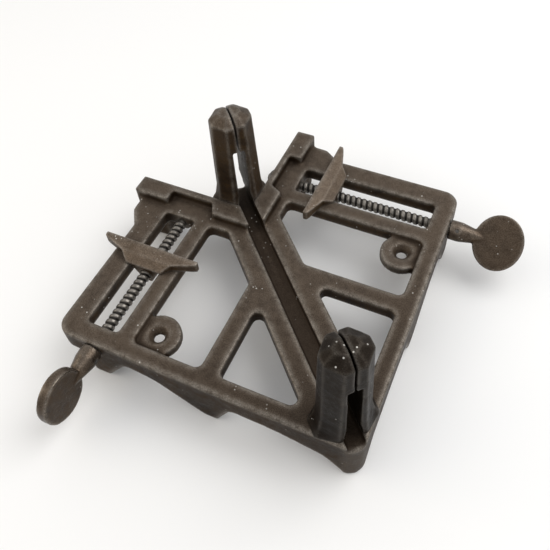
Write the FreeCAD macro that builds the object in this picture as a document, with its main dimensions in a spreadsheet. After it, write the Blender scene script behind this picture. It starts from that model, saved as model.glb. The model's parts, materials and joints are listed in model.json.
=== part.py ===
import FreeCAD, Part
import math
import os
import re

import Sketcher

# Mitre vise for picture framing: one iron bed casting that carries two clamp arms at a right
# angle and two slotted saw posts on the diagonal between them.
#
# Bed frame: X runs along the front bar, Y along the left arm, Z up, with Z = 0 on the flat top
# of the bed and the left front corner at X = Y = 0. The saw plane is X + Y = side. The whole
# model is then shifted so that the origin is the bottom centre of its bounding box.

DOC = FreeCAD.newDocument("mitre_vise")
SHEET = DOC.addObject("Spreadsheet::Sheet", "Sizes")

SIZES = {
    # bed plate, in plan
    "side": 250.0,
    "bed_thick": 12.5,
    "corner_round": 13.0,
    "rail_width": 19.6,
    "slot_width": 28.0,
    "slot_front": 16.7,
    "slot_length": 120.0,
    "bar_width": 14.2,
    "brace_start": 119.8,
    "brace_width": 15.8,
    "diagonal_half": 23.6,
    "window_round": 5.0,
    "gusset_reach": 10.0,
    "gusset_length": 30.0,
    # fences, the raised faces that the work is pressed against
    "fence_gap": 6.8,
    "fence_width": 17.5,
    "fence_height": 8.5,
    "fence_overhang": 16.0,
    "fence_block": 33.0,
    "ridge_width": 6.0,
    "inner_block": 56.0,
    # legs below the front bars, with an arch on each side of the middle foot
    "leg_height": 47.0,
    "arch_low": 25.0,
    "arch_high": 19.5,
    "screw_foot_start": 22.0,
    "screw_foot_end": 38.0,
    "outer_crown": 60.0,
    "inner_crown": 150.0,
    "crown_length": 24.0,
    "crown_round": 9.0,
    "corner_foot_start": 222.0,
    "back_leg_width": 20.0,
    # bench lugs
    "lug_x": 75.5,
    "lug_y": 28.5,
    "lug_radius": 18.0,
    "lug_drop": 4.0,
    "lug_hole_radius": 4.3,
    "lug_sink_radius": 8.5,
    # saw posts and the path cut for the saw
    "post_height": 95.0,
    "cap_drop": 6.0,
    "post_half_width": 16.8,
    "post_half_depth": 14.5,
    "post_front_half": 7.5,
    "post_side_half": 4.0,
    "cap_inset": 8.5,
    "post_flare": 25.0,
    "front_post_at": 146.5,
    "back_post_at": 76.0,
    "channel_half": 7.0,
    "channel_deep": 5.0,
    "window_half": 5.0,
    "window_top": 64.0,
    "kerf_half": 0.6,
    # lead screws, five threads to the inch
    "screw_drop": 9.0,
    "screw_radius": 4.75,
    "journal_radius": 3.25,
    "running_gap": 0.08,
    # jaws
    "jaw_half_width": 43.5,
    "jaw_height": 9.8,
    "jaw_lift": 0.35,
    "jaw_depth": 17.5,
    "jaw_body_half": 16.5,
    "neck_start": 1.5,
    "neck_length": 15.0,
    "neck_half_width": 13.0,
    "neck_bottom_half": 8.2,
    "left_jaw_gap": 51.0,
    "right_jaw_gap": 27.0,
    # thumb heads
    "shank_radius": 8.5,
    "shank_length": 20.0,
    "socket_depth": 15.0,
    "shoulder_gap": 0.3,
    "head_pin_radius": 1.5,
    "paddle_half_width": 23.5,
    "paddle_half_length": 20.5,
    "paddle_thick": 8.0,
    "head_reach": 62.0,
    "left_turn": 92.0,
    "right_turn": -41.0,
    # collar behind the fence that stops the screw from drawing forwards
    "collar_radius": 7.0,
    "collar_length": 6.0,
    "collar_pin_radius": 1.2,
}

for row, (alias, value) in enumerate(SIZES.items(), start=1):
    SHEET.set("A%d" % row, alias)
    SHEET.set("B%d" % row, str(value))
    SHEET.setAlias("B%d" % row, alias)
DOC.recompute()

SIDE = SIZES["side"]
SAW_TURN = FreeCAD.Rotation(FreeCAD.Vector(0, 0, 1), 45)
QUARTER_TURN = FreeCAD.Rotation(FreeCAD.Vector(0, 0, 1), 90)


def words(text):
    """An expression in which each word is an alias of the sheet, except the function sqrt."""
    return re.sub(r"(?!sqrt)\b[a-z][a-z_]*\b", lambda found: "Sizes." + found.group(0), text)


def bind(obj, **properties):
    """Bind properties of an object to expressions; a double underscore stands for a dot."""
    for name, text in properties.items():
        obj.setExpression(name.replace("__", "."), words(text))
    return obj


def origin_plane(body, role):
    """One of the body's own origin planes."""
    return next(plane for plane in body.Origin.OriginFeatures if plane.Role == role)


def new_sketch(body, name, role="XY_Plane", lift=None):
    """A sketch on an origin plane of its body, lifted along the plane's normal."""
    sketch = body.newObject("Sketcher::SketchObject", name)
    sketch.AttachmentSupport = [(origin_plane(body, role), "")]
    sketch.MapMode = "FlatFace"
    if lift is not None:
        bind(sketch, AttachmentOffset__Base__z=lift)
    return sketch


def hold(sketch, geometry, point, x_text, y_text):
    """Hold one sketch point at a place given by two expressions."""
    for kind, axis, text in (("DistanceX", -2, x_text), ("DistanceY", -1, y_text)):
        if text == "0":
            sketch.addConstraint(Sketcher.Constraint("PointOnObject", geometry, point, axis))
            continue
        index = sketch.addConstraint(Sketcher.Constraint(kind, -1, 1, geometry, point, 1.0))
        sketch.setExpression("Constraints[%d]" % index, words(text))


def add_outline(sketch, corners):
    """A closed outline of straight lines through corners given as pairs of expressions."""
    count = len(corners)
    turn = 2 * math.pi / count
    start = [FreeCAD.Vector(math.cos(turn * i), math.sin(turn * i), 0) for i in range(count)]
    lines = [Part.LineSegment(start[i], start[(i + 1) % count]) for i in range(count)]
    first = sketch.GeometryCount
    sketch.addGeometry(lines, False)
    for i in range(count):
        after = first + (i + 1) % count
        sketch.addConstraint(Sketcher.Constraint("Coincident", first + i, 2, after, 1))
    for i, (x_text, y_text) in enumerate(corners):
        hold(sketch, first + i, 1, x_text, y_text)


def add_circle(sketch, x_text, y_text, radius_text):
    """A circle with its centre and radius given as expressions."""
    circle = Part.Circle(FreeCAD.Vector(1, 1, 0), FreeCAD.Vector(0, 0, 1), 1.0)
    index = sketch.addGeometry(circle, False)
    hold(sketch, index, 3, x_text, y_text)
    radius = sketch.addConstraint(Sketcher.Constraint("Radius", index, 1.0))
    sketch.setExpression("Constraints[%d]" % radius, words(radius_text))


def pad(body, sketch, name, length, reverse=False):
    """Pad a sketch; reverse pads against the normal of its plane."""
    feature = body.newObject("PartDesign::Pad", name)
    feature.Profile = sketch
    feature.Reversed = reverse
    return bind(feature, Length=length)


def pocket_through(body, sketch, name):
    """Pocket a sketch right through its body, both ways from its plane."""
    feature = body.newObject("PartDesign::Pocket", name)
    feature.Profile = sketch
    feature.Type = 1
    feature.Midplane = True
    return feature


def edges_along(shape, direction, wanted):
    """Names of the straight edges that run along a direction and whose middle satisfies the test."""
    names = []
    for index, edge in enumerate(shape.Edges, start=1):
        if len(edge.Vertexes) != 2 or edge.Curve.TypeId != "Part::GeomLine":
            continue
        first, last = (vertex.Point for vertex in edge.Vertexes)
        run = last.sub(first)
        if run.cross(direction).Length < 0.001 * run.Length and wanted((first + last) * 0.5):
            names.append("Edge%d" % index)
    return names


def near(value, target):
    return abs(value - target) < 0.05


def round_edges(body, base, name, radius, direction, wanted):
    """Round the edges of a feature that run along a direction and satisfy the test."""
    DOC.recompute()
    feature = body.newObject("PartDesign::Fillet", name)
    feature.Base = (base, edges_along(base.Shape, direction, wanted))
    return bind(feature, Radius=radius)


def primitive(kind, name, **sizes):
    """A Part primitive whose sizes and place are expressions."""
    return bind(DOC.addObject(kind, name), **sizes)


def cylinder_along_y(name, radius, length, start, x_text, z_text):
    """A cylinder on an axis parallel to Y, from start towards +Y."""
    rod = primitive("Part::Cylinder", name, Radius=radius, Height=length)
    rod.Placement.Rotation = FreeCAD.Rotation(FreeCAD.Vector(1, 0, 0), -90)
    return bind(rod, Placement__Base__x=x_text, Placement__Base__y=start, Placement__Base__z=z_text)


def join(name, shapes):
    """Fuse several objects into one."""
    result = DOC.addObject("Part::MultiFuse", name)
    result.Shapes = shapes
    result.Refine = True
    return result


def common(name, base, tool):
    """Keep what two objects share."""
    result = DOC.addObject("Part::Common", name)
    result.Base = base
    result.Tool = tool
    return result


def cut(name, base, tool):
    """Cut one object with another."""
    result = DOC.addObject("Part::Cut", name)
    result.Base = base
    result.Tool = tool
    result.Refine = True
    return result


UP = FreeCAD.Vector(0, 0, 1)
DEPTH = FreeCAD.Vector(0, 1, 0)

# Places that several features share, as expressions of the sheet.
INNER_EDGE = "(rail_width + slot_width + bar_width)"
SLOT_BACK = "(slot_front + slot_length)"
FENCE_FACE = "(slot_front + slot_length + fence_gap)"
FENCE_BACK = "(slot_front + slot_length + fence_gap + fence_width)"
WEB_BACK = "(side / 2 + back_post_at / sqrt(2))"
DIAGONAL = "(side - diagonal_half * sqrt(2))"
SCREW_X = "(rail_width + slot_width / 2)"

# The same places as numbers, for choosing edges and setting placements.
INNER_EDGE_AT = SIZES["rail_width"] + SIZES["slot_width"] + SIZES["bar_width"]
SLOT_BACK_AT = SIZES["slot_front"] + SIZES["slot_length"]
FENCE_FACE_AT = SLOT_BACK_AT + SIZES["fence_gap"]
SCREW_X_AT = SIZES["rail_width"] + SIZES["slot_width"] / 2

# Bottom centre of the bounding box, in the bed frame.
CENTRE = FreeCAD.Vector(
    (SIDE + SIZES["head_reach"] - SIZES["fence_overhang"]) / 2,
    (SIDE - SIZES["head_reach"] + SIZES["fence_overhang"]) / 2,
    -SIZES["leg_height"],
)


def make_half_plate():
    """Left half of the flat bed: front bar, left arm, brace and half of the diagonal."""
    body = DOC.addObject("PartDesign::Body", "half_plate")
    outline = new_sketch(body, "plate_outline")
    add_outline(outline, [
        ("0", "0"),
        ("side", "0"),
        ("side - " + WEB_BACK, WEB_BACK),
        ("side - 2 * " + WEB_BACK + " + " + FENCE_BACK, FENCE_BACK),
        ("-fence_overhang", FENCE_BACK),
        ("-fence_overhang", FENCE_FACE),
        ("-gusset_reach - 1", FENCE_FACE),
        ("-gusset_reach", FENCE_FACE + " - gusset_length / 2"),
        ("0", FENCE_FACE + " - gusset_length"),
    ])
    pad(body, outline, "plate_pad", "bed_thick", reverse=True)
    openings = new_sketch(body, "plate_openings")
    add_outline(openings, [
        ("rail_width", "slot_front"),
        ("rail_width + slot_width", "slot_front"),
        ("rail_width + slot_width", SLOT_BACK),
        ("rail_width", SLOT_BACK),
    ])
    add_outline(openings, [
        (INNER_EDGE, "bar_width"),
        ("brace_start", "bar_width"),
        ("brace_start", DIAGONAL + " - brace_start"),
        (DIAGONAL + " - " + SLOT_BACK, SLOT_BACK),
        (INNER_EDGE, SLOT_BACK),
    ])
    add_outline(openings, [
        ("brace_start + brace_width", "bar_width"),
        (DIAGONAL + " - bar_width", "bar_width"),
        ("brace_start + brace_width", DIAGONAL + " - brace_start - brace_width"),
    ])
    cut_through = pocket_through(body, openings, "plate_cut")

    def window_corner(point):
        inside = INNER_EDGE_AT - 1 < point.x < SIDE - 30
        return inside and SIZES["bar_width"] - 1 < point.y < SLOT_BACK_AT + 1

    def slot_corner(point):
        sides = (SIZES["rail_width"], SIZES["rail_width"] + SIZES["slot_width"])
        ends = (SIZES["slot_front"], SLOT_BACK_AT)
        return any(near(point.x, x) for x in sides) and any(near(point.y, y) for y in ends)

    def gusset_corner(point):
        return near(point.x, -SIZES["gusset_reach"])

    windows = round_edges(body, cut_through, "window_rounds", "window_round", UP, window_corner)
    slots = round_edges(body, windows, "slot_rounds", "window_round / 2.5", UP, slot_corner)
    round_edges(body, slots, "gusset_round", "2 * window_round", UP, gusset_corner)
    return body


def make_half_fence():
    """Raised fence: an outer block, a thin rear ridge, and an inner block beside the saw path."""
    body = DOC.addObject("PartDesign::Body", "half_fence")
    outline = new_sketch(body, "fence_outline")
    add_outline(outline, [
        ("-fence_overhang", FENCE_FACE),
        ("fence_block - fence_overhang", FENCE_FACE),
        ("fence_block - fence_overhang", FENCE_BACK + " - ridge_width"),
        ("inner_block", FENCE_BACK + " - ridge_width"),
        (INNER_EDGE, FENCE_FACE),
        ("side - " + FENCE_FACE, FENCE_FACE),
        ("side - " + FENCE_BACK, FENCE_BACK),
        ("-fence_overhang", FENCE_BACK),
    ])
    pad(body, outline, "fence_pad", "fence_height")
    return body


def make_half_legs():
    """Deep web below the front bar, with feet below the screw, the brace and the corner."""
    body = DOC.addObject("PartDesign::Body", "half_legs")
    outline = new_sketch(body, "legs_outline", "XZ_Plane")
    add_outline(outline, [
        ("0", "-bed_thick"),
        ("0", "-arch_high"),
        ("screw_foot_start", "-arch_high"),
        ("screw_foot_start + 2", "-leg_height"),
        ("screw_foot_end", "-leg_height"),
        ("outer_crown", "-arch_high + 2"),
        ("outer_crown + crown_length", "-arch_high - 2"),
        ("brace_start + 4", "-leg_height"),
        ("brace_start + brace_width", "-leg_height"),
        ("inner_crown", "-arch_low + 4.5"),
        ("inner_crown + 1.5 * crown_length", "-arch_low + 2.5"),
        ("corner_foot_start", "-arch_low - 5.5"),
        ("corner_foot_start + 16", "-leg_height"),
        ("side", "-leg_height"),
        ("side", "-bed_thick"),
    ])
    web = pad(body, outline, "legs_pad", "bar_width", reverse=True)

    base = web
    roundings = [
        ("screw_foot", SIZES["screw_foot_start"], "crown_round"),
        ("outer_steep", SIZES["outer_crown"], "crown_round"),
        ("outer_gentle", SIZES["outer_crown"] + SIZES["crown_length"], "4 * crown_round"),
        ("inner_steep", SIZES["inner_crown"], "crown_round"),
        ("inner_gentle", SIZES["inner_crown"] + 1.5 * SIZES["crown_length"], "6 * crown_round"),
        ("corner_foot", SIZES["corner_foot_start"], "2 * crown_round"),
    ]
    for name, place, radius in roundings:
        base = round_edges(
            body, base, name + "_round", radius, DEPTH, lambda point, place=place: near(point.x, place),
        )
    return body


def make_half_lug():
    """Round bench lug in the corner between the inner rail and the front bar."""
    return primitive(
        "Part::Cylinder", "half_lug", Radius="lug_radius", Height="bed_thick - lug_drop",
        Placement__Base__x="lug_x", Placement__Base__y="lug_y", Placement__Base__z="-bed_thick",
    )


def make_back_leg():
    """Square leg below the outer end of the fence."""
    return primitive(
        "Part::Box", "back_leg", Length="back_leg_width", Width="fence_width",
        Height="leg_height - bed_thick / 2", Placement__Base__x="-fence_overhang / 2",
        Placement__Base__y=FENCE_FACE, Placement__Base__z="-leg_height",
    )


def make_journal_boss():
    """Round boss below the end of the slot, which gives the rear journal enough metal."""
    return cylinder_along_y(
        "journal_boss", "screw_drop - 0.8", "fence_gap + fence_width", SLOT_BACK,
        SCREW_X, "-screw_drop",
    )


def make_half_tools():
    """Holes of the left half: the screw's two bearings, and the lug's countersunk hole."""
    front = cylinder_along_y(
        "front_bearing", "screw_radius + running_gap", "slot_front + 2", "-1", SCREW_X, "-screw_drop",
    )
    rear = cylinder_along_y(
        "rear_bearing", "journal_radius + running_gap", "fence_gap + fence_width + 2",
        SLOT_BACK + " - 1", SCREW_X, "-screw_drop",
    )
    hole = primitive(
        "Part::Cylinder", "lug_hole", Radius="lug_hole_radius", Height="2 * bed_thick",
        Placement__Base__x="lug_x", Placement__Base__y="lug_y", Placement__Base__z="-1.5 * bed_thick",
    )
    sink = primitive(
        "Part::Cone", "lug_sink", Radius1="lug_hole_radius", Radius2="lug_sink_radius",
        Height="lug_sink_radius - lug_hole_radius", Placement__Base__x="lug_x",
        Placement__Base__y="lug_y", Placement__Base__z="-lug_drop - lug_sink_radius + lug_hole_radius",
    )
    return join("half_tools", [front, rear, hole, sink])


def mirrored(name, source):
    """The other half: the source mirrored in the saw plane."""
    mirror = DOC.addObject("Part::Mirroring", name)
    mirror.Source = source
    mirror.Normal = FreeCAD.Vector(1, 1, 0)
    return bind(mirror, Base__x="side / 2", Base__y="side / 2")


def octagon(half_width, half_depth, front_half, side_half):
    """Corners of a post's section: across the saw plane in X, along it in Y."""
    return [
        (half_width, "-" + side_half),
        (half_width, side_half),
        (front_half, half_depth),
        ("-" + front_half, half_depth),
        ("-" + half_width, side_half),
        ("-" + half_width, "-" + side_half),
        ("-" + front_half, "-" + half_depth),
        (front_half, "-" + half_depth),
    ]


def make_post(name, at):
    """Eight-sided post that tapers upwards, flares at its foot and ends in a bevelled cap."""
    body = DOC.addObject("PartDesign::Body", name)
    sections = [
        ("0", "post_flare", "(post_half_depth + 3)", "(post_front_half + 3)", "(post_side_half + 3)"),
        ("6", "(post_flare - 4)", "(post_half_depth + 2.8)", "(post_front_half + 2.8)",
         "(post_side_half + 2)"),
        ("18", "(post_half_width + 2)", "(post_half_depth + 2)", "(post_front_half + 2)",
         "(post_side_half + 1)"),
        ("post_height - cap_drop", "post_half_width", "post_half_depth", "post_front_half",
         "post_side_half"),
        ("post_height", "(post_half_width - cap_inset)", "(post_half_depth - cap_inset)",
         "(post_front_half / 2)", "(post_side_half / 2)"),
    ]
    sketches = []
    for number, (lift, half_width, half_depth, front_half, side_half) in enumerate(sections):
        sketch = new_sketch(body, "%s_section_%d" % (name, number), lift=lift)
        add_outline(sketch, octagon(half_width, half_depth, front_half, side_half))
        sketches.append(sketch)
    DOC.recompute()
    loft = body.newObject("PartDesign::AdditiveLoft", name + "_loft")
    loft.Profile = sketches[0]
    loft.Sections = sketches[1:]
    loft.Ruled = True
    body.Placement.Rotation = SAW_TURN
    step = "(%s) / sqrt(2)" % at
    return bind(body, Placement__Base__x="side / 2 - " + step, Placement__Base__y="side / 2 + " + step)


def make_post_leg():
    """Round leg below the back post."""
    step = " back_post_at / sqrt(2)"
    return primitive(
        "Part::Cylinder", "post_leg", Radius="post_half_depth", Height="leg_height",
        Placement__Base__x="side / 2 -" + step, Placement__Base__y="side / 2 +" + step,
        Placement__Base__z="-leg_height",
    )


def make_saw_path():
    """Everything the saw needs cleared: the channel, the windows in the posts and the kerfs."""
    body = DOC.addObject("PartDesign::Body", "saw_path")
    outline = new_sketch(body, "saw_profile", "XZ_Plane")
    right = [
        ("channel_half", "-channel_deep"),
        ("channel_half", "channel_deep / 2"),
        ("window_half", "3 * channel_deep"),
        ("window_half", "window_top"),
        ("kerf_half", "window_top"),
        ("kerf_half", "post_height + 5"),
    ]
    left = [("-" + x_text, z_text) for x_text, z_text in reversed(right)]
    add_outline(outline, right + left)
    path = pad(body, outline, "saw_pad", "2 * side")
    path.Midplane = True
    body.Placement.Rotation = SAW_TURN
    return bind(body, Placement__Base__x="side / 2", Placement__Base__y="side / 2")


def make_side_block(name, start):
    """Everything on one side of the saw plane, from start to start plus side across it."""
    block = primitive("Part::Box", name, Length="side", Width="2 * side", Height="2 * post_height")
    block.Placement.Rotation = SAW_TURN
    return bind(
        block, Placement__Base__x="side / 2 + (side + (%s)) / sqrt(2)" % start,
        Placement__Base__y="side / 2 + ((%s) - side) / sqrt(2)" % start,
    )


def make_bed():
    """The bed of the casting, and the halves of the two saw posts as solids of their own."""
    half = join("half_bed", [
        make_half_plate(), make_half_fence(), make_half_legs(), make_half_lug(),
        make_back_leg(), make_journal_boss(),
    ])
    frame = join("bed_frame", [half, mirrored("other_half", half)])
    DOC.recompute()
    rounded = DOC.addObject("Part::Fillet", "bed_rounded")
    rounded.Base = frame
    corners = ((0, 0), (SIDE, 0), (SIDE, SIDE))

    def outer_corner(point):
        return any(near(point.x, x) and near(point.y, y) for x, y in corners)

    radius = SIZES["corner_round"]
    names = edges_along(frame.Shape, UP, outer_corner)
    rounded.Edges = [(int(name[4:]), radius, radius) for name in names]
    solid = join("bed_solid", [rounded, make_post_leg()])
    saw_path = make_saw_path()
    tools = make_half_tools()
    holes = join("bed_holes", [tools, mirrored("other_tools", tools), saw_path])
    around_post = join("around_post", [solid, saw_path])
    pieces = [cut("bed_casting", solid, holes)]
    for post_name, at in (("back_post", "back_post_at"), ("front_post", "-front_post_at")):
        post = make_post(post_name + "_blank", at)
        for side_name, start in (("left", "-side"), ("right", "0")):
            half_name = "%s_%s" % (post_name, side_name)
            kept = make_side_block(half_name + "_block", start)
            half_post = common(half_name + "_blank", post, kept)
            pieces.append(cut(half_name, half_post, around_post))
    for piece in pieces:
        piece.Placement.Base = CENTRE * -1
    return pieces


def arm_placement(side_name, along, turn=0.0):
    """Where a piece of an arm goes: its axis is the screw's, and +Y points to the fence.

    along is its distance from the bar's outer face, and turn is a twist about the screw's axis.
    """
    twist = FreeCAD.Rotation(FreeCAD.Vector(0, 1, 0), turn)
    if side_name == "left":
        place = FreeCAD.Vector(SCREW_X_AT, along, -SIZES["screw_drop"])
        return FreeCAD.Placement(place - CENTRE, twist)
    place = FreeCAD.Vector(SIDE - along, SIDE - SCREW_X_AT, -SIZES["screw_drop"])
    return FreeCAD.Placement(place - CENTRE, QUARTER_TURN.multiply(twist))


def revolve(body, sketch, name):
    """Revolve a sketch about its own vertical axis."""
    feature = body.newObject("PartDesign::Revolution", name)
    feature.Profile = sketch
    feature.ReferenceAxis = (sketch, ["V_Axis"])
    feature.Angle = 360
    return feature


def cross_hole(body, name, y_text, radius):
    """A hole along Z through a piece that lies along Y."""
    sketch = new_sketch(body, name + "_sketch")
    add_circle(sketch, "0", y_text, radius)
    return pocket_through(body, sketch, name)


def cross_pin(name, y_text, radius, half_length):
    """A pin along Z that fills a cross hole."""
    body = DOC.addObject("PartDesign::Body", name)
    sketch = new_sketch(body, name + "_sketch")
    add_circle(sketch, "0", y_text, radius)
    length = pad(body, sketch, name + "_pad", "2 * (%s)" % half_length)
    length.Midplane = True
    return body


REAR_END = FENCE_BACK + " + collar_length + shoulder_gap + 2"
COLLAR_MIDDLE = FENCE_BACK + " + shoulder_gap + collar_length / 2"
HEAD_PIN_AT = "-socket_depth / 2"


def make_lead_screw(name):
    """Steel lead screw: tenon in the head, front journal, thread at its full size, rear journal."""
    body = DOC.addObject("PartDesign::Body", name)
    profile = new_sketch(body, name + "_profile")
    add_outline(profile, [
        ("0", "-socket_depth"),
        ("screw_radius", "-socket_depth"),
        ("screw_radius", SLOT_BACK + " - 2"),
        ("journal_radius", SLOT_BACK + " - 2"),
        ("journal_radius", REAR_END),
        ("0", REAR_END),
    ])
    revolve(body, profile, name + "_turning")
    cross_hole(body, name + "_head_hole", HEAD_PIN_AT, "head_pin_radius")
    cross_hole(body, name + "_collar_hole", COLLAR_MIDDLE, "collar_pin_radius")
    return body


def make_end_collar(name):
    """Turned collar on the rear journal, behind the fence."""
    body = DOC.addObject("PartDesign::Body", name)
    profile = new_sketch(body, name + "_profile")
    add_outline(profile, [
        ("journal_radius", FENCE_BACK + " + shoulder_gap"),
        ("collar_radius", FENCE_BACK + " + shoulder_gap"),
        ("collar_radius", FENCE_BACK + " + shoulder_gap + collar_length - 1"),
        ("collar_radius - 1", FENCE_BACK + " + shoulder_gap + collar_length"),
        ("journal_radius", FENCE_BACK + " + shoulder_gap + collar_length"),
    ])
    revolve(body, profile, name + "_turning")
    cross_hole(body, name + "_hole", COLLAR_MIDDLE, "collar_pin_radius")
    return body


def make_thumb_head(name):
    """Forged thumb head: a round shank with a socket, let into a flat oval paddle."""
    shank = DOC.addObject("PartDesign::Body", name + "_shank")
    profile = new_sketch(shank, name + "_shank_profile")
    add_outline(profile, [
        ("0", "-shank_length - paddle_half_length / 2"),
        ("paddle_thick / 2", "-shank_length - paddle_half_length / 2"),
        ("shank_radius - 2", "-shank_length"),
        ("shank_radius - 0.8", "-0.7 * shank_length"),
        ("shank_radius", "-shank_length / 2"),
        ("shank_radius", "-shoulder_gap - 1"),
        ("shank_radius - 1", "-shoulder_gap"),
        ("screw_radius", "-shoulder_gap"),
        ("screw_radius", "-socket_depth"),
        ("0", "-socket_depth"),
    ])
    revolve(shank, profile, name + "_shank_turning")
    middle = "-head_reach + paddle_half_length"
    outline = primitive(
        "Part::Ellipse", name + "_paddle_outline", MajorRadius="paddle_half_width",
        MinorRadius="paddle_half_length", Placement__Base__y=middle,
        Placement__Base__z="-paddle_thick / 2",
    )
    plate = DOC.addObject("Part::Extrusion", name + "_paddle")
    plate.Base = outline
    plate.DirMode = "Custom"
    plate.Dir = UP
    plate.Solid = True
    bind(plate, LengthFwd="paddle_thick")
    blank = join(name + "_blank", [shank, plate])
    drill = primitive(
        "Part::Cylinder", name + "_drill", Radius="head_pin_radius", Height="4 * shank_radius",
        Placement__Base__y=HEAD_PIN_AT, Placement__Base__z="-2 * shank_radius",
    )
    return cut(name, blank, drill)


def make_jaw(name):
    """Sliding jaw: a winged pressing face, a sloping back and a tapped neck down in the slot."""
    body = DOC.addObject("PartDesign::Body", name)
    plan = new_sketch(body, name + "_plan", lift="screw_drop + jaw_lift")
    right = [
        ("jaw_half_width", "0"),
        ("jaw_half_width", "-3.5"),
        ("jaw_half_width - 3", "-5"),
        ("jaw_body_half + 7", "-jaw_depth + 7"),
        ("jaw_body_half", "-jaw_depth"),
    ]
    add_outline(plan, right + [("-(" + x_text + ")", y_text) for x_text, y_text in reversed(right)])
    pad(body, plan, name + "_plate", "jaw_height - jaw_lift")
    neck = new_sketch(body, name + "_neck", "XZ_Plane", lift="neck_start")
    add_outline(neck, [
        ("neck_half_width", "screw_drop + jaw_lift + 2"),
        ("neck_half_width", "screw_drop - 2"),
        ("neck_bottom_half", "-1"),
        ("neck_bottom_half / 2", "-neck_bottom_half"),
        ("-neck_bottom_half / 2", "-neck_bottom_half"),
        ("-neck_bottom_half", "-1"),
        ("-neck_half_width", "screw_drop - 2"),
        ("-neck_half_width", "screw_drop + jaw_lift + 2"),
    ])
    pad(body, neck, name + "_neck_pad", "neck_length")
    slope = new_sketch(body, name + "_slope", "YZ_Plane")
    add_outline(slope, [
        ("-2.5", "screw_drop + jaw_height"),
        ("-jaw_depth + 7", "screw_drop + jaw_height - 2.4"),
        ("-jaw_depth - 1", "screw_drop + 1.2"),
        ("-jaw_depth - 1", "screw_drop + jaw_height + 1"),
        ("-2.5", "screw_drop + jaw_height + 1"),
    ])
    pocket_through(body, slope, name + "_slope_cut")
    bore = new_sketch(body, name + "_bore", "XZ_Plane")
    add_circle(bore, "0", "0", "screw_radius + running_gap")
    pocket_through(body, bore, name + "_bore_cut")
    return body


def make_arm(side_name, jaw_gap, turn):
    """The loose pieces of one arm, placed on its screw's axis."""
    lead_screw = make_lead_screw(side_name + "_lead_screw")
    turning = [
        lead_screw,
        make_thumb_head(side_name + "_thumb_head"),
        cross_pin(side_name + "_head_pin", HEAD_PIN_AT, "head_pin_radius", "shank_radius - 0.3"),
        make_end_collar(side_name + "_end_collar"),
        cross_pin(side_name + "_collar_pin", COLLAR_MIDDLE, "collar_pin_radius", "collar_radius + 0.6"),
    ]
    for piece in turning:
        piece.Placement = arm_placement(side_name, 0.0, turn)
    jaw = make_jaw(side_name + "_jaw")
    jaw.Placement = arm_placement(side_name, FENCE_FACE_AT - jaw_gap)
    return turning + [jaw]


def write_parts(pieces):
    """Stop if anything failed, then write one STEP file for each piece."""
    for obj in DOC.Objects:
        if "Invalid" in obj.State or "Error" in obj.State:
            raise RuntimeError("%s failed: %s" % (obj.Name, obj.State))
    os.makedirs("parts", exist_ok=True)
    for piece in pieces:
        shape = piece.Shape
        if shape.isNull() or not shape.isValid() or not shape.Solids:
            raise RuntimeError("%s has no valid solid" % piece.Label)
        shape.exportStep("parts/%s.step" % piece.Label)
        print(piece.Label, len(shape.Solids), round(shape.Volume), shape.BoundBox)


def main():
    pieces = make_bed()
    pieces += make_arm("left", SIZES["left_jaw_gap"], SIZES["left_turn"])
    pieces += make_arm("right", SIZES["right_jaw_gap"], SIZES["right_turn"])
    DOC.recompute()
    write_parts(pieces)


main()
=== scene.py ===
import json
import math

import bmesh
import bpy
import numpy as np
from bpy.props import FloatProperty, FloatVectorProperty, IntProperty, PointerProperty
from bpy.types import Operator, Panel, PropertyGroup
from mathutils import Matrix, Vector


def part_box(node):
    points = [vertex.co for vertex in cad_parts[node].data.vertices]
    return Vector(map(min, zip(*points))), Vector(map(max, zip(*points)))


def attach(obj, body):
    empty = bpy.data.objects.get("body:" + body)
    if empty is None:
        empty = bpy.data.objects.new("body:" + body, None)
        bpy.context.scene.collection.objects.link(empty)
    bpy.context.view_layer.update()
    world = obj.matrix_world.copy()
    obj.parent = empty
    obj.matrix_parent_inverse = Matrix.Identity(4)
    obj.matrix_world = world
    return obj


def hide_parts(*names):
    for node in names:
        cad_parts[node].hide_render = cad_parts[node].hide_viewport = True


bl_info = {
    "name": "Mitre Vise Looks",
    "version": (1, 0, 0),
    "blender": (4, 5, 0),
    "location": "3D View > Sidebar > Mitre Vise",
    "description": "Cast skin, threads, old iron and steel for a picture framer's mitre vise",
    "category": "Object",
}

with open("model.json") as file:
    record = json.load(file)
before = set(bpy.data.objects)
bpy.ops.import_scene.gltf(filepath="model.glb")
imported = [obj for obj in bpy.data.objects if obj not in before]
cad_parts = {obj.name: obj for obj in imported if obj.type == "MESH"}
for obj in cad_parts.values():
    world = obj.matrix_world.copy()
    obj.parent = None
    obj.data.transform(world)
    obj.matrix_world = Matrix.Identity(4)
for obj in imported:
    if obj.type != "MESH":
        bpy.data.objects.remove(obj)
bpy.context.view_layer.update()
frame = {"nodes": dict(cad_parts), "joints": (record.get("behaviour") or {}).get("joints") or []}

ARMS = ("left", "right")
POST_HALVES = ("back_post_left", "back_post_right", "front_post_left", "front_post_right")
BED_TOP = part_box(POST_HALVES[0])[0].z


def length_property(name, default, description):
    return FloatProperty(name=name, default=default, description=description, unit="LENGTH", precision=5)


def colour_property(name, default, description):
    return FloatVectorProperty(
        name=name, default=default, description=description, subtype="COLOR", size=3, min=0, max=1
    )


def place_property(name, default, description):
    return FloatVectorProperty(
        name=name, default=default, description=description, subtype="TRANSLATION", size=3
    )


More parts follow.
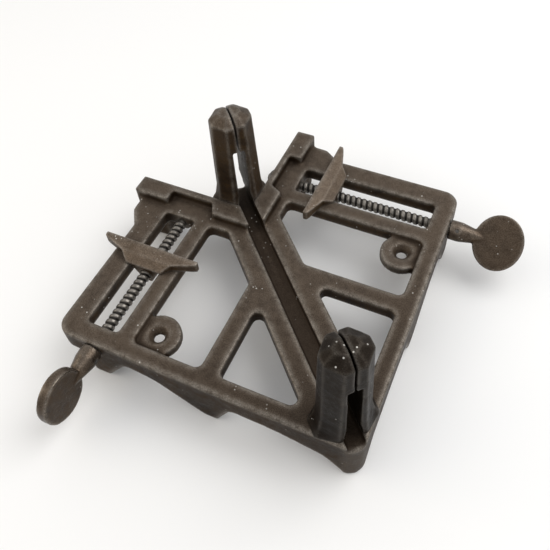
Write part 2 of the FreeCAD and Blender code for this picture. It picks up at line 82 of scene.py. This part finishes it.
class VISE_PG_casting(PropertyGroup):
    """Skin and colours of the cast iron."""

    bed_grid: length_property("Bed grid", 0.00125, "Size of the bed skin's faces")
    post_grid: length_property("Post grid", 0.0008, "Size of the post skin's faces")
    fine_grid: length_property("Fine grid", 0.0005, "Size of the faces of the jaws and thumb heads")
    passes: IntProperty(name="Rounding passes", default=4, description="How far edges are rounded")
    # The channel sizes set where the saw channel's floor is darkened with grime and painted shade.
    channel_half: length_property("Channel half width", 0.0072, "Half the width of the saw channel")
    channel_lip: length_property("Channel lip", 0.001, "Depth at which the channel's dirt starts")
    channel_fade: length_property("Channel fade", 0.002, "Depth over which the channel's dirt grows")
    channel_depth: length_property("Channel depth", 0.0065, "Depth below which there is no more dirt")
    # The corner sizes set where the painted shade towards the front corner starts and grows.
    corner_start: length_property("Corner start", -0.04, "Where the front corner's dark patina starts")
    corner_fade: length_property("Corner fade", 0.15, "Distance over which the dark patina grows")
    wear: FloatProperty(name="Wear", default=14.0, description="How strongly edges are worn")
    dirt: FloatProperty(name="Dirt", default=16.0, description="How strongly hollows are dirty")
    # Channel grime and shade: grime and painted shade on the saw channel's floor.
    channel_grime_and_shade: FloatProperty(name="Channel grime and shade", default=0.8, description="Dirt in the saw channel")
    # Corner shade: painted shade that darkens the iron towards the front corner.
    corner_shade: FloatProperty(name="Corner shade", default=0.7, description="Dark patina at the corner")
    specular: FloatProperty(name="Specular", default=0.08, description="Shine of the oxide layer")
    face: colour_property("Face", (0.058, 0.038, 0.022), "Brown-grey of the worn patina")
    dark: colour_property("Dark", (0.013, 0.0075, 0.004), "Dark brown of the thick patina")
    rust: colour_property("Rust", (0.075, 0.04, 0.012), "Olive brown of the old rust")
    # Dust and top light: dust and painted top light on the surfaces that face up.
    dust_and_top_light: colour_property("Dust_and_top_light", (0.15, 0.12, 0.095), "Grey of the surfaces that face up")
    bare: colour_property("Bare", (0.26, 0.235, 0.205), "Polished edges")


class VISE_PG_screw(PropertyGroup):
    """Sizes and colours of the lead screws."""

    pitch: length_property("Pitch", 0.00508, "Distance between threads: five to the inch")
    depth: length_property("Depth", 0.0009, "Depth of the thread")
    thread_start: length_property("Thread start", 0.0145, "Where the thread starts inside the bar")
    root_width: FloatProperty(name="Root width", default=0.18, description="Share of the wave in the root")
    flank: FloatProperty(name="Flank", default=0.5, description="Share of the wave in the flank")
    journal_dirt: FloatProperty(name="Journal dirt", default=0.2, description="Dirt on the plain journal")
    thread_end: length_property("Thread end", 0.1347, "Where the thread ends at the fence")
    journal: length_property("Journal radius", 0.00325, "Radius of the screw inside the fence")
    step: length_property("Step", 0.0003, "Distance between rings of the mesh")
    around: IntProperty(name="Faces around", default=48, description="Faces in each ring of the mesh")
    root: colour_property("Root", (0.016, 0.014, 0.012), "Oily dirt between the threads")
    crest: colour_property("Crest", (0.26, 0.24, 0.215), "Steel on the crests of the thread")
    pin: colour_property("Pin", (0.12, 0.11, 0.1), "Dull steel of the pins and collars")


class VISE_PG_stage(PropertyGroup):
    """Floor, lights and camera."""

    floor: colour_property("Floor", (0.86, 0.86, 0.86), "Pale floor")
    reach: length_property("Floor reach", 4.0, "Half the width of the floor")
    daylight: FloatProperty(name="Daylight", default=0.8, description="Strength of the light all round")
    key: FloatProperty(name="Key light", default=11.0, description="Power of the large light", unit="POWER")
    fill: FloatProperty(name="Fill light", default=4.0, description="Power of the warm light", unit="POWER")
    key_size: length_property("Key size", 1.2, "Width of the large light")
    fill_size: length_property("Fill size", 1.0, "Width of the warm light")
    key_place: place_property("Key place", (0.7, 0.5, 1.3), "Where the large light hangs")
    fill_place: place_property("Fill place", (-1.1, -0.5, 0.7), "Where the warm light stands")
    key_colour: colour_property("Key colour", (1.0, 0.99, 0.97), "Colour of the large light")
    fill_colour: colour_property("Fill colour", (1.0, 0.9, 0.74), "Colour of the warm light")
    azimuth: FloatProperty(
        name="Azimuth", default=math.radians(27.62), subtype="ANGLE", description="View direction"
    )
    elevation: FloatProperty(
        name="Elevation", default=math.radians(50.92), subtype="ANGLE", description="View direction"
    )
    roll: FloatProperty(name="Roll", default=math.radians(4.32), subtype="ANGLE", description="Camera roll")
    lens: FloatProperty(name="Lens", default=42.51, description="Focal length on a 36 mm sensor")
    place: place_property("Camera place", (0.1384, -0.2581, 0.4684), "Where the camera stands")
    shift: FloatVectorProperty(
        name="Lens shift", default=(-0.0167, -0.0655), size=2, description="Shift of the picture",
    )


# Meshes


def link(name, mesh):
    """A new object at the origin that shows a mesh."""
    obj = bpy.data.objects.new(name, mesh)
    bpy.context.scene.collection.objects.link(obj)
    return obj


def merged_mesh(name, node, sink=0.0):
    """A closed copy of a CAD node's triangles, with its lowest vertices pushed down by sink."""
    work = bmesh.new()
    work.from_mesh(frame["nodes"][node].data)
    bmesh.ops.remove_doubles(work, verts=work.verts, dist=1e-6)
    bottom = min(vertex.co.z for vertex in work.verts) + 1e-5
    for vertex in work.verts:
        if sink and vertex.co.z < bottom:
            vertex.co.z -= sink
    mesh = bpy.data.meshes.new(name)
    work.to_mesh(mesh)
    work.free()
    return mesh


def remeshed(name, mesh, grid):
    """The same closed shape as an even skin of small quads."""
    source = link(name + "_source", mesh)
    skin = source.modifiers.new("Skin", "REMESH")
    skin.mode = "VOXEL"
    skin.voxel_size = grid
    evaluated = source.evaluated_get(bpy.context.evaluated_depsgraph_get())
    result = bpy.data.meshes.new_from_object(evaluated)
    result.name = name
    bpy.data.objects.remove(source)
    bpy.data.meshes.remove(mesh)
    return result


def neighbour_mean(values, edges, counts):
    """For each vertex, the mean of a value over the vertices that share an edge with it."""
    first, second = edges[:, 0], edges[:, 1]
    columns = [
        np.bincount(first, weights=column[second], minlength=len(counts))
        + np.bincount(second, weights=column[first], minlength=len(counts))
        for column in values.T
    ]
    return np.stack(columns, axis=1) / counts[:, None]


def read_mesh(mesh):
    """Vertex places and edges of a mesh, with the number of edges at each vertex."""
    places = np.empty(len(mesh.vertices) * 3)
    mesh.vertices.foreach_get("co", places)
    edges = np.empty(len(mesh.edges) * 2, dtype=np.int32)
    mesh.edges.foreach_get("vertices", edges)
    counts = np.maximum(np.bincount(edges, minlength=len(mesh.vertices)), 1)
    return places.reshape(-1, 3), edges.reshape(-1, 2), counts


def set_mask(mesh, name, values):
    """Store one number per vertex, from 0 to 1."""
    layer = mesh.attributes.new(name, "FLOAT", "POINT")
    layer.data.foreach_set("value", np.clip(values, 0, 1).astype(np.float32))


def cast_skin(name, mesh, grid, passes):
    """The skin of a casting: edges rounded by averaging, with masks for wear and dirt.

    Each pass moves a vertex halfway to the mean of its neighbours, which leaves flat faces flat
    and rounds edges and corners. The bend at a vertex is how far the neighbours' mean stands out
    along the normal, in grid sizes, averaged over the vertices around: edges are negative and are
    worn, hollows are positive and hold dirt. The mask of grime and shade adds to the hollows' dirt
    the saw channel's grime and painted shade, and painted shade that darkens towards the front
    corner. The up mask is the upward part of the normal; it lays dust and painted top light on the tops.
    """
    skin = remeshed(name, mesh, grid)
    places, edges, counts = read_mesh(skin)
    for _ in range(passes):
        places += 0.5 * (neighbour_mean(places, edges, counts) - places)
    skin.vertices.foreach_set("co", places.ravel())
    skin.update()
    normals = np.empty(places.size)
    skin.vertices.foreach_get("normal", normals)
    normals = normals.reshape(-1, 3)
    offset = neighbour_mean(places, edges, counts) - places
    bend = (offset * normals).sum(axis=1, keepdims=True) / grid
    for _ in range(passes):
        bend += 0.6 * (neighbour_mean(bend, edges, counts) - bend)
    look = bpy.context.scene.vise_casting
    set_mask(skin, "worn", -bend[:, 0] * look.wear)
    # Grime mask: dirt in hollows, grime and painted shade in the saw channel, and painted shade that darkens
    # towards the front corner.
    set_mask(skin, "grime_and_shade", bend[:, 0] * look.dirt + channel_grime_and_shade(places, look) + corner_shade(places, look))
    # Up mask: lays dust and painted top light on the surfaces that face up.
    set_mask(skin, "up", normals[:, 2])
    skin.shade_smooth()
    return link(name, skin)


def channel_grime_and_shade(places, look):
    """Grime and painted shade in the saw channel: below the bed's top and close to the plane X + Y = 0."""
    across = np.abs(places[:, 0] + places[:, 1]) / math.sqrt(2)
    depth = BED_TOP - places[:, 2]
    low = np.clip((depth - look.channel_lip) / look.channel_fade, 0, 1)
    return look.channel_grime_and_shade * low * (depth < look.channel_depth) * (across < look.channel_half)


def corner_shade(places, look):
    """Painted shade towards the front corner: grows with the distance along X - Y."""
    along = (places[:, 0] - places[:, 1]) / math.sqrt(2)
    return look.corner_shade * smooth_step((along - look.corner_start) / look.corner_fade)


def grid_faces(rings, around):
    """Quads between closed rings of vertices, as an array of four vertex numbers each."""
    row = np.arange(rings - 1)[:, None] * around
    here = np.arange(around)[None, :]
    after = (here + 1) % around
    return np.stack([row + here, row + after, row + around + after, row + around + here], -1).reshape(-1, 4)


def smooth_step(values):
    values = np.clip(values, 0, 1)
    return values * values * (3 - 2 * values)


def threaded_rod(name, origin, axis, low, high, crest, sizes):
    """A right-hand threaded rod along an axis, from low to high.

    The radius at a place s along the axis and a turn t about it is the crest radius, less the
    depth where the wave of s / pitch - t / (2 pi) is between threads. The wave is a triangle made
    round by a smooth step. Behind the thread the rod is a plain journal.
    """
    steps = np.arange(low, high + sizes.step / 2, sizes.step)
    turns = np.arange(sizes.around) / sizes.around
    s, t = np.meshgrid(steps, turns, indexing="ij")
    wave = np.abs(((s / sizes.pitch - t) % 1) * 2 - 1)
    ridge = smooth_step((wave - sizes.root_width) / sizes.flank)
    inside = smooth_step((s - sizes.thread_start) / sizes.pitch)
    gap = (1 - ridge) * inside
    radius = np.where(s > sizes.thread_end, sizes.journal, crest - sizes.depth * gap)
    side = axis.cross(Vector((0, 0, 1)))
    frame_axes = [np.array(vector) for vector in (Vector((0, 0, 1)), side, axis)]
    angle = 2 * math.pi * t
    parts = (radius * np.cos(angle), radius * np.sin(angle), s)
    points = sum(part[..., None] * vector for part, vector in zip(parts, frame_axes))
    points = points.reshape(-1, 3) + np.array(origin)
    ends = [np.array(origin + axis * place) for place in (steps[0], steps[-1])]
    faces = grid_faces(len(steps), sizes.around).tolist()
    count = len(points)
    last = count - sizes.around
    for j in range(sizes.around):
        after = (j + 1) % sizes.around
        faces.append((count, after, j))
        faces.append((count + 1, last + j, last + after))
    mesh = bpy.data.meshes.new(name)
    mesh.from_pydata(np.vstack([points, ends]), [], faces)
    mesh.shade_smooth()
    dirt = np.where(s > sizes.thread_end, sizes.journal_dirt, gap).ravel()
    set_mask(mesh, "grime_and_shade", np.append(dirt, [sizes.journal_dirt] * 2))
    return link(name, mesh)


# Materials


BROAD, MOTTLE, FINE, GRAIN = 24, 150, 420, 1300
SPECK_CELLS, SPECK_PATCHES = 230, 60
SPECK_COLOUR = (0.62, 0.6, 0.56, 1)


def add(tree, kind, inputs=None, **settings):
    """A node with settings, and inputs given as values or as sockets to link."""
    item = tree.nodes.new(kind)
    for key, value in settings.items():
        setattr(item, key, value)
    for key, value in (inputs or {}).items():
        if isinstance(value, bpy.types.NodeSocket):
            tree.links.new(value, item.inputs[key])
        else:
            item.inputs[key].default_value = value
    return item


def noise(tree, coords, scale, detail, roughness=0.6):
    inputs = {"Vector": coords, "Scale": scale, "Detail": detail, "Roughness": roughness}
    return add(tree, "ShaderNodeTexNoise", inputs).outputs["Fac"]


def stretch(tree, value, low, high, to_low=0.0, to_high=1.0):
    """Map a value's range to another, clamped."""
    inputs = {"Value": value, "From Min": low, "From Max": high, "To Min": to_low, "To Max": to_high}
    return add(tree, "ShaderNodeMapRange", inputs).outputs[0]


def mix(tree, amount, first, second):
    return add(tree, "ShaderNodeMix", {0: amount, 6: first, 7: second}, data_type="RGBA").outputs[2]


def arithmetic(tree, operation, first, second):
    return add(tree, "ShaderNodeMath", {0: first, 1: second}, operation=operation, use_clamp=True).outputs[0]


def new_group(name, inputs, outputs):
    """An empty node group: its inputs and outputs are given as pairs of name and kind of socket."""
    group = bpy.data.node_groups.new(name, "ShaderNodeTree")
    for direction, sockets in (("INPUT", inputs), ("OUTPUT", outputs)):
        for label, kind in sockets:
            group.interface.new_socket(label, in_out=direction, socket_type="NodeSocket" + kind)
    return group, group.nodes.new("NodeGroupInput").outputs, group.nodes.new("NodeGroupOutput").inputs


def patina_group():
    """Old iron: blotches of patina, rust, dust and painted top light on the tops, polished edges, dirt with
    painted shade, and pale specks.
    """
    colours = [(name, "Color") for name in ("Face", "Dark", "Rust", "Dust_and_top_light", "Bare")]
    masks = [(name, "Float") for name in ("Worn", "Grime_and_shade", "Up", "Shine")]
    results = [("Colour", "Color"), ("Roughness", "Float"), ("Height", "Float")]
    group, given, result = new_group("Old Iron Patina", colours + masks, results)
    coords = add(group, "ShaderNodeTexCoord").outputs["Object"]
    broad = noise(group, coords, BROAD, 5)
    mottle = noise(group, coords, MOTTLE, 6, 0.7)
    grain = noise(group, coords, GRAIN, 3)
    colour = mix(group, stretch(group, broad, 0.36, 0.6), given["Dark"], given["Face"])
    colour = mix(group, stretch(group, mottle, 0.46, 0.72, 0, 0.7), colour, given["Rust"])
    # Dust and painted top light: lighter on the surfaces that face up, patchy by the mottle.
    dust_and_top_light_amount = arithmetic(group, "MULTIPLY", given["Up"], stretch(group, mottle, 0.25, 0.6, 0.35, 0.8))
    colour = mix(group, dust_and_top_light_amount, colour, given["Dust_and_top_light"])
    bare = arithmetic(group, "MULTIPLY", given["Worn"], stretch(group, mottle, 0.35, 0.6, 0.2, 0.9))
    colour = mix(group, bare, colour, given["Bare"])
    # Grime mask: dirt in hollows, grime and painted shade in the saw channel, and painted shade towards the
    # front corner, all mixed towards the dark colour.
    colour = mix(group, stretch(group, given["Grime_and_shade"], 0, 1, 0, 0.75), colour, given["Dark"])
    colour = mix(group, stretch(group, grain, 0.38, 0.62, 0, 0.55), colour, given["Dark"])
    cells = add(group, "ShaderNodeTexVoronoi", {"Vector": coords, "Scale": SPECK_CELLS}).outputs["Distance"]
    speck = arithmetic(
        group, "MULTIPLY", stretch(group, cells, 0.1, 0.16, 1, 0),
        stretch(group, noise(group, coords, SPECK_PATCHES, 2), 0.56, 0.64, 0, 0.8),
    )
    group.links.new(mix(group, speck, colour, SPECK_COLOUR), result["Colour"])
    rough = stretch(group, mottle, 0.3, 0.7, 0.4, 0.62)
    polish = arithmetic(group, "ADD", arithmetic(group, "MULTIPLY", bare, 0.18), given["Shine"])
    group.links.new(arithmetic(group, "SUBTRACT", rough, polish), result["Roughness"])
    pits = stretch(group, mottle, 0.3, 0.5)
    fine_height = arithmetic(group, "MULTIPLY", grain, 0.4)
    pit_height = arithmetic(group, "MULTIPLY", pits, 0.6)
    group.links.new(arithmetic(group, "ADD", fine_height, pit_height), result["Height"])
    return group


def rgba(colour):
    return (*colour, 1)


def mask_socket(tree, name):
    return add(tree, "ShaderNodeAttribute", attribute_name=name).outputs["Fac"]


def new_material(name):
    """A new material, with its node tree and its shader for the caller to set up."""
    material = bpy.data.materials.new(name)
    material.use_nodes = True
    return material, material.node_tree, material.node_tree.nodes["Principled BSDF"]


def iron_material(name, patina, look, lift=1.0, shine=0.0, metal=0.45):
    """Cast iron: the patina's colours times a lift, smoother by shine."""
    material, tree, shader = new_material(name)
    inputs = {
        label.capitalize(): rgba([min(1, value * lift) for value in getattr(look, label)])
        for label in ("face", "dark", "rust", "dust_and_top_light", "bare")
    }
    inputs.update({label.capitalize(): mask_socket(tree, label) for label in ("worn", "grime_and_shade", "up")})
    inputs["Shine"] = shine
    node = add(tree, "ShaderNodeGroup", node_tree=patina)
    for label, value in inputs.items():
        if isinstance(value, bpy.types.NodeSocket):
            tree.links.new(value, node.inputs[label])
        else:
            node.inputs[label].default_value = value
    bump_inputs = {"Height": node.outputs["Height"], "Strength": 0.55, "Distance": 0.00025}
    bump = add(tree, "ShaderNodeBump", bump_inputs)
    tree.links.new(node.outputs["Colour"], shader.inputs["Base Color"])
    tree.links.new(node.outputs["Roughness"], shader.inputs["Roughness"])
    tree.links.new(bump.outputs["Normal"], shader.inputs["Normal"])
    shader.inputs["Metallic"].default_value = metal
    shader.inputs["Specular IOR Level"].default_value = look.specular
    return material


def steel_material(name, bright, dark, masked):
    """Dull steel with fine streaks of dirt, and more dirt where the grime mask says."""
    material, tree, shader = new_material(name)
    coords = add(tree, "ShaderNodeTexCoord").outputs["Object"]
    mottle = noise(tree, coords, FINE, 5, 0.7)
    dirt = stretch(tree, mottle, 0.42, 0.7, 0, 0.7)
    if masked:
        dirt = arithmetic(tree, "MAXIMUM", dirt, mask_socket(tree, "grime_and_shade"))
    tree.links.new(mix(tree, dirt, rgba(bright), rgba(dark)), shader.inputs["Base Color"])
    tree.links.new(stretch(tree, dirt, 0, 1, 0.32, 0.6), shader.inputs["Roughness"])
    bump = add(tree, "ShaderNodeBump", {"Height": mottle, "Strength": 0.4, "Distance": 0.0002})
    tree.links.new(bump.outputs["Normal"], shader.inputs["Normal"])
    shader.inputs["Metallic"].default_value = 0.75
    return material


def shared_material(name, build, *values):
    """A material by name, built the first time it is asked for."""
    return bpy.data.materials.get(name) or build(name, *values)


def patina():
    return bpy.data.node_groups.get("Old Iron Patina") or patina_group()


def finish(obj, material, body, slot, *nodes):
    """Give a piece its material and its body, and hide the CAD nodes it stands for."""
    obj.data.materials.clear()
    obj.data.materials.append(material)
    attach(obj, body)
    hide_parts(*nodes)


# Operators


class VISE_OT_bed(Operator):
    """Make the skin of the bed casting"""

    bl_idname = "vise.make_bed"
    bl_label = "Bed Casting"

    def execute(self, context):
        look = context.scene.vise_casting
        iron = shared_material("old_bed_iron", iron_material, patina(), look)
        bed = cast_skin("bed_skin", merged_mesh("bed", "bed_casting"), look.bed_grid, look.passes)
        finish(bed, iron, "bed", "bed_iron", "bed_casting")
        return {"FINISHED"}


class VISE_OT_posts(Operator):
    """Make the skins of the slotted saw posts"""

    bl_idname = "vise.make_posts"
    bl_label = "Saw Posts"

    sink: length_property("Sink", 0.002, "How far a post's foot reaches into the bed")
    # Front shade lift: painted shade, the front post's iron is a darker copy of the bed's iron.
    front_shade_lift: FloatProperty(name="Front shade lift", default=0.35, description="Darkness of the front post")

    def execute(self, context):
        look = context.scene.vise_casting
        # Painted shade: the front posts get a darker copy of the iron, the back posts the plain iron.
        front_shaded_iron = shared_material("old_post_iron", iron_material, patina(), look, self.front_shade_lift)
        back_iron = shared_material("old_bed_iron", iron_material, patina(), look)
        for node in POST_HALVES:
            mesh = merged_mesh(node, node, self.sink)
            half = cast_skin(node + "_skin", mesh, look.post_grid, look.passes)
            finish(half, front_shaded_iron if node.startswith("front") else back_iron, "bed", "bed_iron", node)
        return {"FINISHED"}


class VISE_OT_jaws(Operator):
    """Make the skins of the two jaws"""

    bl_idname = "vise.make_jaws"
    bl_label = "Jaws"

    lift: FloatProperty(name="Lift", default=1.45, description="Lightness of the handled iron")
    shine: FloatProperty(name="Shine", default=0.06, description="Polish of the handled iron")

    def execute(self, context):
        look = context.scene.vise_casting
        iron = shared_material("old_jaw_iron", iron_material, patina(), look, self.lift, self.shine)
        for arm in ARMS:
            node = arm + "_jaw"
            jaw = cast_skin(node + "_skin", merged_mesh(node, node), look.fine_grid, 2 * look.passes)
            finish(jaw, iron, node, "jaw_iron", node)
        return {"FINISHED"}


class VISE_OT_heads(Operator):
    """Make the skins of the two thumb heads"""

    bl_idname = "vise.make_heads"
    bl_label = "Thumb Heads"

    lift: FloatProperty(name="Lift", default=1.2, description="Lightness of the forged iron")
    shine: FloatProperty(name="Shine", default=0.16, description="Polish of the forged iron")
    metal: FloatProperty(name="Metal", default=0.8, description="Metalness of the forged iron")

    def execute(self, context):
        look = context.scene.vise_casting
        polish = (self.lift, self.shine, self.metal)
        iron = shared_material("old_head_iron", iron_material, patina(), look, *polish)
        for arm in ARMS:
            node = arm + "_thumb_head"
            head = cast_skin(node + "_skin", merged_mesh(node, node), look.fine_grid, 3 * look.passes)
            finish(head, iron, arm + "_screw", "head_iron", node)
        return {"FINISHED"}


class VISE_OT_screws(Operator):
    """Make the threaded lead screws"""

    bl_idname = "vise.make_screws"
    bl_label = "Lead Screws"

    def execute(self, context):
        sizes = context.scene.vise_screw
        steel = shared_material("old_screw_steel", steel_material, sizes.crest, sizes.root, True)
        joints = {joint["name"]: joint for joint in frame["joints"]}
        for arm in ARMS:
            node = arm + "_lead_screw"
            joint = joints[arm + "_screw_turn"]
            axis = Vector(joint["axis"])
            origin = Vector(joint["pos_m"])
            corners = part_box(node)
            low, high = sorted((corner - origin).dot(axis) for corner in corners)
            crest = (corners[1].z - corners[0].z) / 2
            rod = threaded_rod(node + "_thread", origin, axis, low, high, crest, sizes)
            finish(rod, steel, arm + "_screw", "screw_steel", node)
        return {"FINISHED"}


class VISE_OT_fastenings(Operator):
    """Give the pins and collars their steel"""

    bl_idname = "vise.finish_fastenings"
    bl_label = "Pins and Collars"

    def execute(self, context):
        sizes = context.scene.vise_screw
        steel = shared_material("old_pin_steel", steel_material, sizes.pin, sizes.root, False)
        for arm in ARMS:
            for part in ("head_pin", "end_collar", "collar_pin"):
                slots = frame["nodes"]["%s_%s" % (arm, part)].data.materials
                slots.clear()
                slots.append(steel)
        return {"FINISHED"}


def area_light(name, power, size, place, colour):
    """A square light that faces the object's middle."""
    lamp = bpy.data.lights.new(name, "AREA")
    lamp.energy = power
    lamp.size = size
    lamp.color = colour
    obj = bpy.data.objects.new(name, lamp)
    bpy.context.scene.collection.objects.link(obj)
    obj.location = place
    obj.rotation_euler = Vector(place).to_track_quat("Z", "Y").to_euler()


class VISE_OT_stage(Operator):
    """Make the floor, the lights and the camera"""

    bl_idname = "vise.make_stage"
    bl_label = "Stage"

    def execute(self, context):
        scene = context.scene
        stage = scene.vise_stage
        self.make_floor(stage)
        self.make_daylight(scene, stage)
        area_light("key_light", stage.key, stage.key_size, stage.key_place, stage.key_colour)
        area_light("fill_light", stage.fill, stage.fill_size, stage.fill_place, stage.fill_colour)
        self.make_camera(scene, stage)
        scene.view_settings.view_transform = "Standard"
        return {"FINISHED"}

    def make_floor(self, stage):
        reach = stage.reach
        mesh = bpy.data.meshes.new("floor")
        corners = [(-reach, -reach, 0), (reach, -reach, 0), (reach, reach, 0), (-reach, reach, 0)]
        mesh.from_pydata(corners, [], [(0, 1, 2, 3)])
        material, _, shader = new_material("floor_paint")
        shader.inputs["Base Color"].default_value = rgba(stage.floor)
        shader.inputs["Roughness"].default_value = 0.9
        mesh.materials.append(material)
        link("floor", mesh)

    def make_daylight(self, scene, stage):
        world = bpy.data.worlds.new("daylight")
        world.use_nodes = True
        world.node_tree.nodes["Background"].inputs["Color"].default_value = (1, 1, 1, 1)
        world.node_tree.nodes["Background"].inputs["Strength"].default_value = stage.daylight
        scene.world = world

    def make_camera(self, scene, stage):
        """Turn from azimuth, elevation and roll: the camera looks along ahead, with up square to it."""
        az, el, roll = stage.azimuth, stage.elevation, stage.roll
        ahead = Vector((-math.sin(az) * math.cos(el), math.cos(az) * math.cos(el), -math.sin(el)))
        level = Vector((math.cos(az), math.sin(az), 0))
        down = ahead.cross(level)
        right = level * math.cos(roll) + down * math.sin(roll)
        up = level * math.sin(roll) - down * math.cos(roll)
        turn = Matrix((right, up, -ahead)).transposed().to_4x4()
        lens = bpy.data.cameras.new("camera")
        lens.lens = stage.lens
        lens.sensor_width = 36
        lens.shift_x, lens.shift_y = stage.shift
        lens.clip_start = 0.01
        camera = bpy.data.objects.new("camera", lens)
        scene.collection.objects.link(camera)
        camera.matrix_world = Matrix.Translation(stage.place) @ turn
        scene.camera = camera


OPERATORS = (
    VISE_OT_stage, VISE_OT_bed, VISE_OT_posts, VISE_OT_jaws, VISE_OT_heads, VISE_OT_screws,
    VISE_OT_fastenings,
)
GROUPS = (VISE_PG_casting, VISE_PG_screw, VISE_PG_stage)


class VISE_PT_panel(Panel):
    """Lists the pieces of the mitre vise"""

    bl_idname = "VISE_PT_panel"
    bl_label = "Mitre Vise"
    bl_space_type = "VIEW_3D"
    bl_region_type = "UI"
    bl_category = "Mitre Vise"

    def draw(self, context):
        for operator in OPERATORS:
            self.layout.operator(operator.bl_idname)
        for group in (context.scene.vise_casting, context.scene.vise_screw, context.scene.vise_stage):
            box = self.layout.box()
            for name in group.bl_rna.properties.keys():
                if name not in ("rna_type", "name"):
                    box.prop(group, name)


CLASSES = GROUPS + OPERATORS + (VISE_PT_panel,)


def register():
    for item in CLASSES:
        bpy.utils.register_class(item)
    bpy.types.Scene.vise_casting = PointerProperty(type=VISE_PG_casting)
    bpy.types.Scene.vise_screw = PointerProperty(type=VISE_PG_screw)
    bpy.types.Scene.vise_stage = PointerProperty(type=VISE_PG_stage)


def unregister():
    del bpy.types.Scene.vise_casting
    del bpy.types.Scene.vise_screw
    del bpy.types.Scene.vise_stage
    for item in reversed(CLASSES):
        bpy.utils.unregister_class(item)


def main():
    register()
    bpy.ops.vise.make_stage()
    bpy.ops.vise.make_bed()
    bpy.ops.vise.make_posts()
    bpy.ops.vise.make_jaws()
    bpy.ops.vise.make_heads()
    bpy.ops.vise.make_screws()
    bpy.ops.vise.finish_fastenings()


if __name__ == "__main__":
    main()
